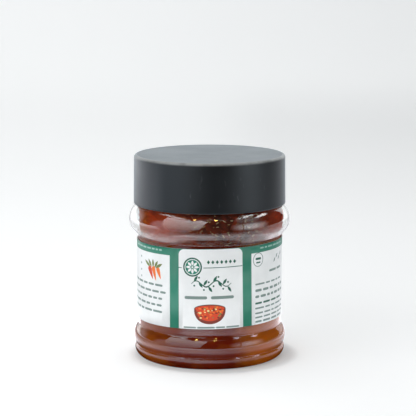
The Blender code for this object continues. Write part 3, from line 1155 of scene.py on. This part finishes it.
def towards(azimuth, elevation):
    """A direction from the jar. Azimuth 0 is towards the camera and 90 to its right."""
    a, e = math.radians(azimuth), math.radians(elevation)
    return Vector((math.sin(a) * math.cos(e), -math.cos(a) * math.cos(e), math.sin(e)))


def light_by_place(place, foot, steps):
    """The product of the steps, where foot is the point that they measure distances from."""
    by = {axis: axis_of(place, axis) for axis in "XYZ"}
    by["foot"] = distance_from(place, foot)
    return product(*[spread(by[what], *numbers) for what, *numbers in steps])


def emission_material(name, colour, strength=1.0):
    """Light of one colour. Returns the material, its nodes and the shader."""
    material = bpy.data.materials.new(name)
    material.use_nodes = True
    tree = material.node_tree
    tree.nodes.clear()
    emission = add_node(tree, "ShaderNodeEmission", {"Color": (*colour, 1), "Strength": strength})
    output = add_node(tree, "ShaderNodeOutputMaterial")
    feed(output, Surface=emission.outputs["Emission"])
    return material, tree, emission


def flat_panel(name, size, material):
    """A rectangle in the XY plane that lights the jar. The camera doesn't see it."""
    corners = [(x * size[0] / 2, y * size[1] / 2, 0) for x, y in ((-1, -1), (1, -1), (1, 1), (-1, 1))]
    panel = new_object(name, corners, [(0, 1, 2, 3)], [material])
    panel.visible_camera = False
    panel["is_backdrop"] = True
    return panel


def light_panel(
    name, azimuth, elevation, size, strength, colour=(1, 1, 1), soft=0.5, lift=0.0, distance=PANEL_DISTANCE
):
    """A panel that faces the jar.

    It fades at its edges over a share of its half size, soft, and is brighter upwards by lift."""
    material, tree, emission = emission_material(name, colour)
    place = place_of(tree)
    slope = product(axis_of(place, "Y"), 2 * lift / size[1])
    light = product(combine("ADD", slope, 1), strength)
    for axis, length in zip("XY", size):
        off = combine("ABSOLUTE", axis_of(place, axis), 0)
        edge = spread(off, length / 2 * (1 - soft), length / 2, 1, 0)
        light = product(light, edge)
    feed(emission, Strength=light)
    panel = flat_panel(name, size, material)
    way = towards(azimuth, elevation)
    panel.location = UP * PANEL_AIM + way * distance
    panel.rotation_euler = way.to_track_quat("Z", "Y").to_euler()
    return panel


def make_lights():
    light_panel("left_softbox", -41, 25, (0.90, 0.82), 2.2, (1.0, 0.99, 1.0), soft=0.04, lift=0.5)
    light_panel("right_softbox", 60, 8, (1.05, 0.68), 3.4, (0.97, 0.99, 1.0), soft=1.0)
    fill = light_panel("front_fill", 66, 40, (0.6, 0.42), 1.9, soft=0.7)  # at the front right
    fill.visible_glossy = False
    overhead = light_panel("overhead", 0, 90, OVERHEAD_SIZE, 2.4, soft=0.12)
    overhead.visible_glossy = False
    ceiling = light_panel("ceiling_glow", 0, 90, OVERHEAD_SIZE, 1.3, soft=0.3)
    ceiling.visible_diffuse = False
    for panel in (overhead, ceiling):
        panel.location = OVERHEAD_PLACE
        panel.rotation_euler = (math.pi, 0, 0)
    for name, azimuth, elevation, width, strength in STRIP_LIGHTS:
        strip = light_panel(name, azimuth, elevation, (width, 0.11), strength)
        strip.visible_diffuse = False
    for name, azimuth in (("left_lamp", -27), ("right_lamp", 12)):
        lamp = light_panel(name, azimuth, 52, LAMP_SIZE, 48, (1.0, 0.58, 0.12), soft=0.3, distance=0.76)
        lamp.visible_diffuse = False


def make_mirrored_table():
    """The lit table as the jar mirrors it. It lights nothing else."""
    material, tree, emission = emission_material("table_sheen", (0.94, 0.94, 1.0))
    place = add_node(tree, "ShaderNodeNewGeometry").outputs["Position"]
    feed(emission, Strength=light_by_place(place, (0, 0, 0), TABLE_LIGHT))
    table = flat_panel("table_sheen", TABLE_SIZE, material)
    table.location = (0, TABLE_FRONT + TABLE_SIZE[1] / 2, TABLE_HEIGHT)
    table.visible_diffuse = table.visible_transmission = table.visible_shadow = False


def make_floor():
    """A white floor, up to the table's front edge, that curves up into a backdrop behind the jar."""
    material, shader, place = new_material(
        "white_sweep", Roughness=0.8, Specular_IOR_Level=0.0, Emission_Color=(0.99, 1, 0.995, 1)
    )
    across = axis_of(place, "X")
    height = axis_of(place, "Z")
    near_jar = spread(distance_from(place, SHADE_PLACE), 0.01, 0.09, 0.10, 0)
    shade = combine("ADD", near_jar, spread(across, -0.02, 0.08, 0.05, 0.18))
    shade = product(shade, spread(height, 0, 0.05, 1, 0))
    window = spread(across, -1.0, -0.45, 1, 0)
    window = product(window, spread(height, 0.25, 0.55, 3.5, -0.9))
    feed(
        shader,
        Base_Color=mixed(noise_of(place, 3, 2.0), (0.60, 0.61, 0.62), (0.64, 0.65, 0.655)),
        Emission_Strength=product(
            light_by_place(place, FOOT_SHADE_PLACE, FLOOR_LIGHT),
            combine("SUBTRACT", 1, shade),
            combine("ADD", window, 1),
        ),
    )
    turns = [math.pi / 2 * step / SWEEP_STEPS for step in range(SWEEP_STEPS + 1)]
    sweep = [(SWEEP_START + SWEEP_RADIUS * math.sin(t), SWEEP_RADIUS * (1 - math.cos(t))) for t in turns]
    profile = [(TABLE_FRONT, 0), *sweep, (SWEEP_START + SWEEP_RADIUS, SWEEP_TOP)]
    vertices = [(x, y, z) for y, z in profile for x in (-FLOOR_HALF, FLOOR_HALF)]
    faces = [(2 * i, 2 * i + 1, 2 * i + 3, 2 * i + 2) for i in range(len(profile) - 1)]
    new_object("floor", vertices, faces, [material])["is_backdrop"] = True


def make_world():
    """Faint light from all round, with a bright wall on the left and a bright skyline behind it."""
    world = bpy.data.worlds.new("studio")
    bpy.context.scene.world = world
    world.use_nodes = True
    tree = world.node_tree
    way = add_node(tree, "ShaderNodeTexCoord").outputs["Generated"]

    def bright_towards(middle, edges, heights):
        """The share of light round a direction, where edges are in cosines from it."""
        near = add_node(tree, "ShaderNodeVectorMath", {0: way, 1: middle}, operation="DOT_PRODUCT")
        low = spread(axis_of(way, "Z"), *heights, 1, 0)
        return product(spread(near.outputs["Value"], *edges), low)

    wall = bright_towards((-0.866, -0.50, 0), (0.80, 0.90), (0.50, 0.75))
    skyline = bright_towards((-0.34, 0.94, 0), (0.60, 0.80), (0.22, 0.50))
    share = combine("MAXIMUM", wall, skyline)
    feed(tree.nodes["Background"], Color=mixed(share, (0.035, 0.037, 0.040), (0.80, 0.90, 1.0)))


def make_camera():
    camera = bpy.data.objects.new("camera", bpy.data.cameras.new("camera"))
    bpy.context.scene.collection.objects.link(camera)
    camera.data.lens = CAMERA_LENS
    camera.data.sensor_width = CAMERA_SENSOR
    back = Vector((0, -math.cos(CAMERA_ELEVATION), math.sin(CAMERA_ELEVATION)))
    camera.location = CAMERA_TARGET + back * CAMERA_DISTANCE
    camera.rotation_euler = back.to_track_quat("Z", "Y").to_euler()
    bpy.context.scene.camera = camera


def write_sizes():
    boxes = {"cad": CAD_BOX, "visual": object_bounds()}
    {name: [list(corner) for corner in corners] for name, corners in boxes.items()}


bpy.context.scene.view_settings.view_transform = "Standard"
cycles = bpy.context.scene.cycles
cycles.max_bounces = cycles.transmission_bounces = LIGHT_BOUNCES
cycles.glossy_bounces = LIGHT_BOUNCES // 2
make_camera()
make_floor()
make_world()
make_lights()
make_mirrored_table()
make_jar()
make_lid()
make_label()
make_murabba()
write_sizes()
